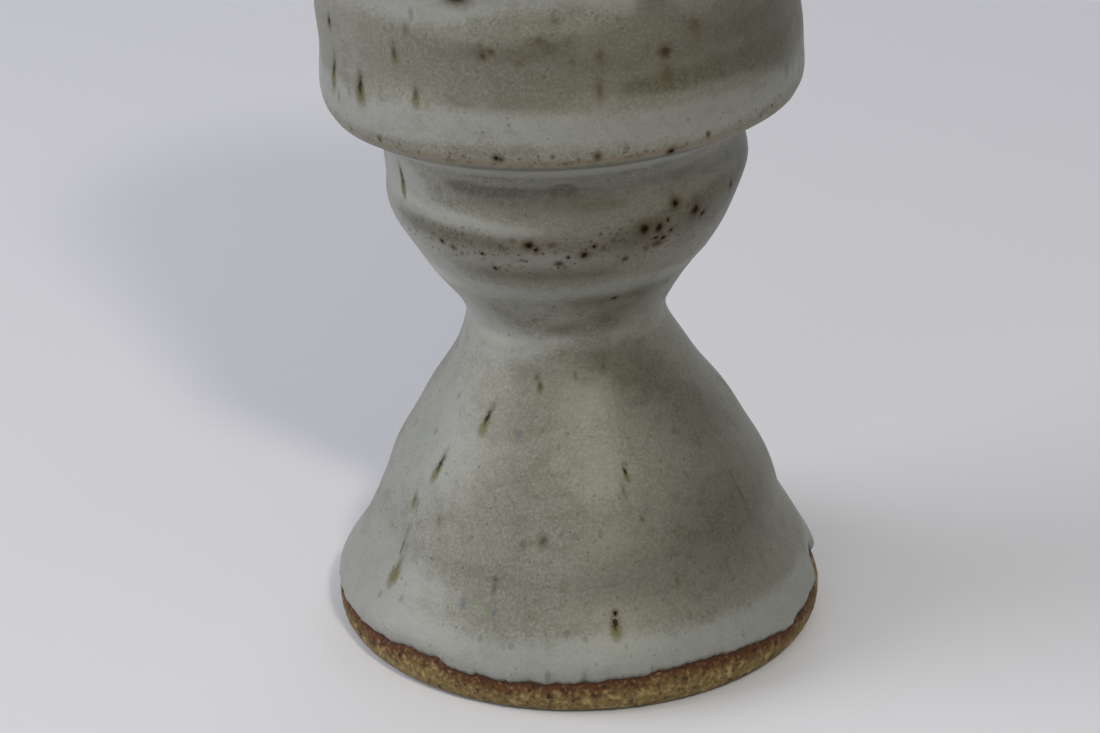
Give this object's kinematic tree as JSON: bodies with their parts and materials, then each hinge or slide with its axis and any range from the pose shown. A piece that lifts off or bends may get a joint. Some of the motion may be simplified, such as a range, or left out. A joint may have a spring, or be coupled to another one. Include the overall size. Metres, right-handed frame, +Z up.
{
  "type": "stoneware goblet",
  "caption": "Small wheel-thrown stoneware goblet: a cylindrical cup with a sharp lower edge on a bellied knop and a flared, hollow pedestal foot with a bare clay rim.",
  "frame": {"origin": "on the ground, in the middle of the foot's sole", "axes": "+Z up along the goblet, +X to the right and +Y away from the viewer in the picture"},
  "size_m": [0.0568, 0.0562, 0.108],
  "materials": {
    "stoneware_clay": "bare iron-bearing stoneware, matt, red-brown beside the glaze and ochre below",
    "joining_slip": "fired clay slip, matt",
    "grey_glaze": "satin grey-green glaze with iron specks, brown where it breaks thin",
    "liner_glaze": "satin grey glaze inside the bowl"
  },
  "bodies": {
    "root": {"pedestal_foot": "stoneware_clay", "waist_slip": "joining_slip", "knop": "stoneware_clay", "bowl_slip": "joining_slip", "bowl": "stoneware_clay", "outer_glaze": "grey_glaze", "liner_glaze": "liner_glaze"}
  },
  "joints": []
}
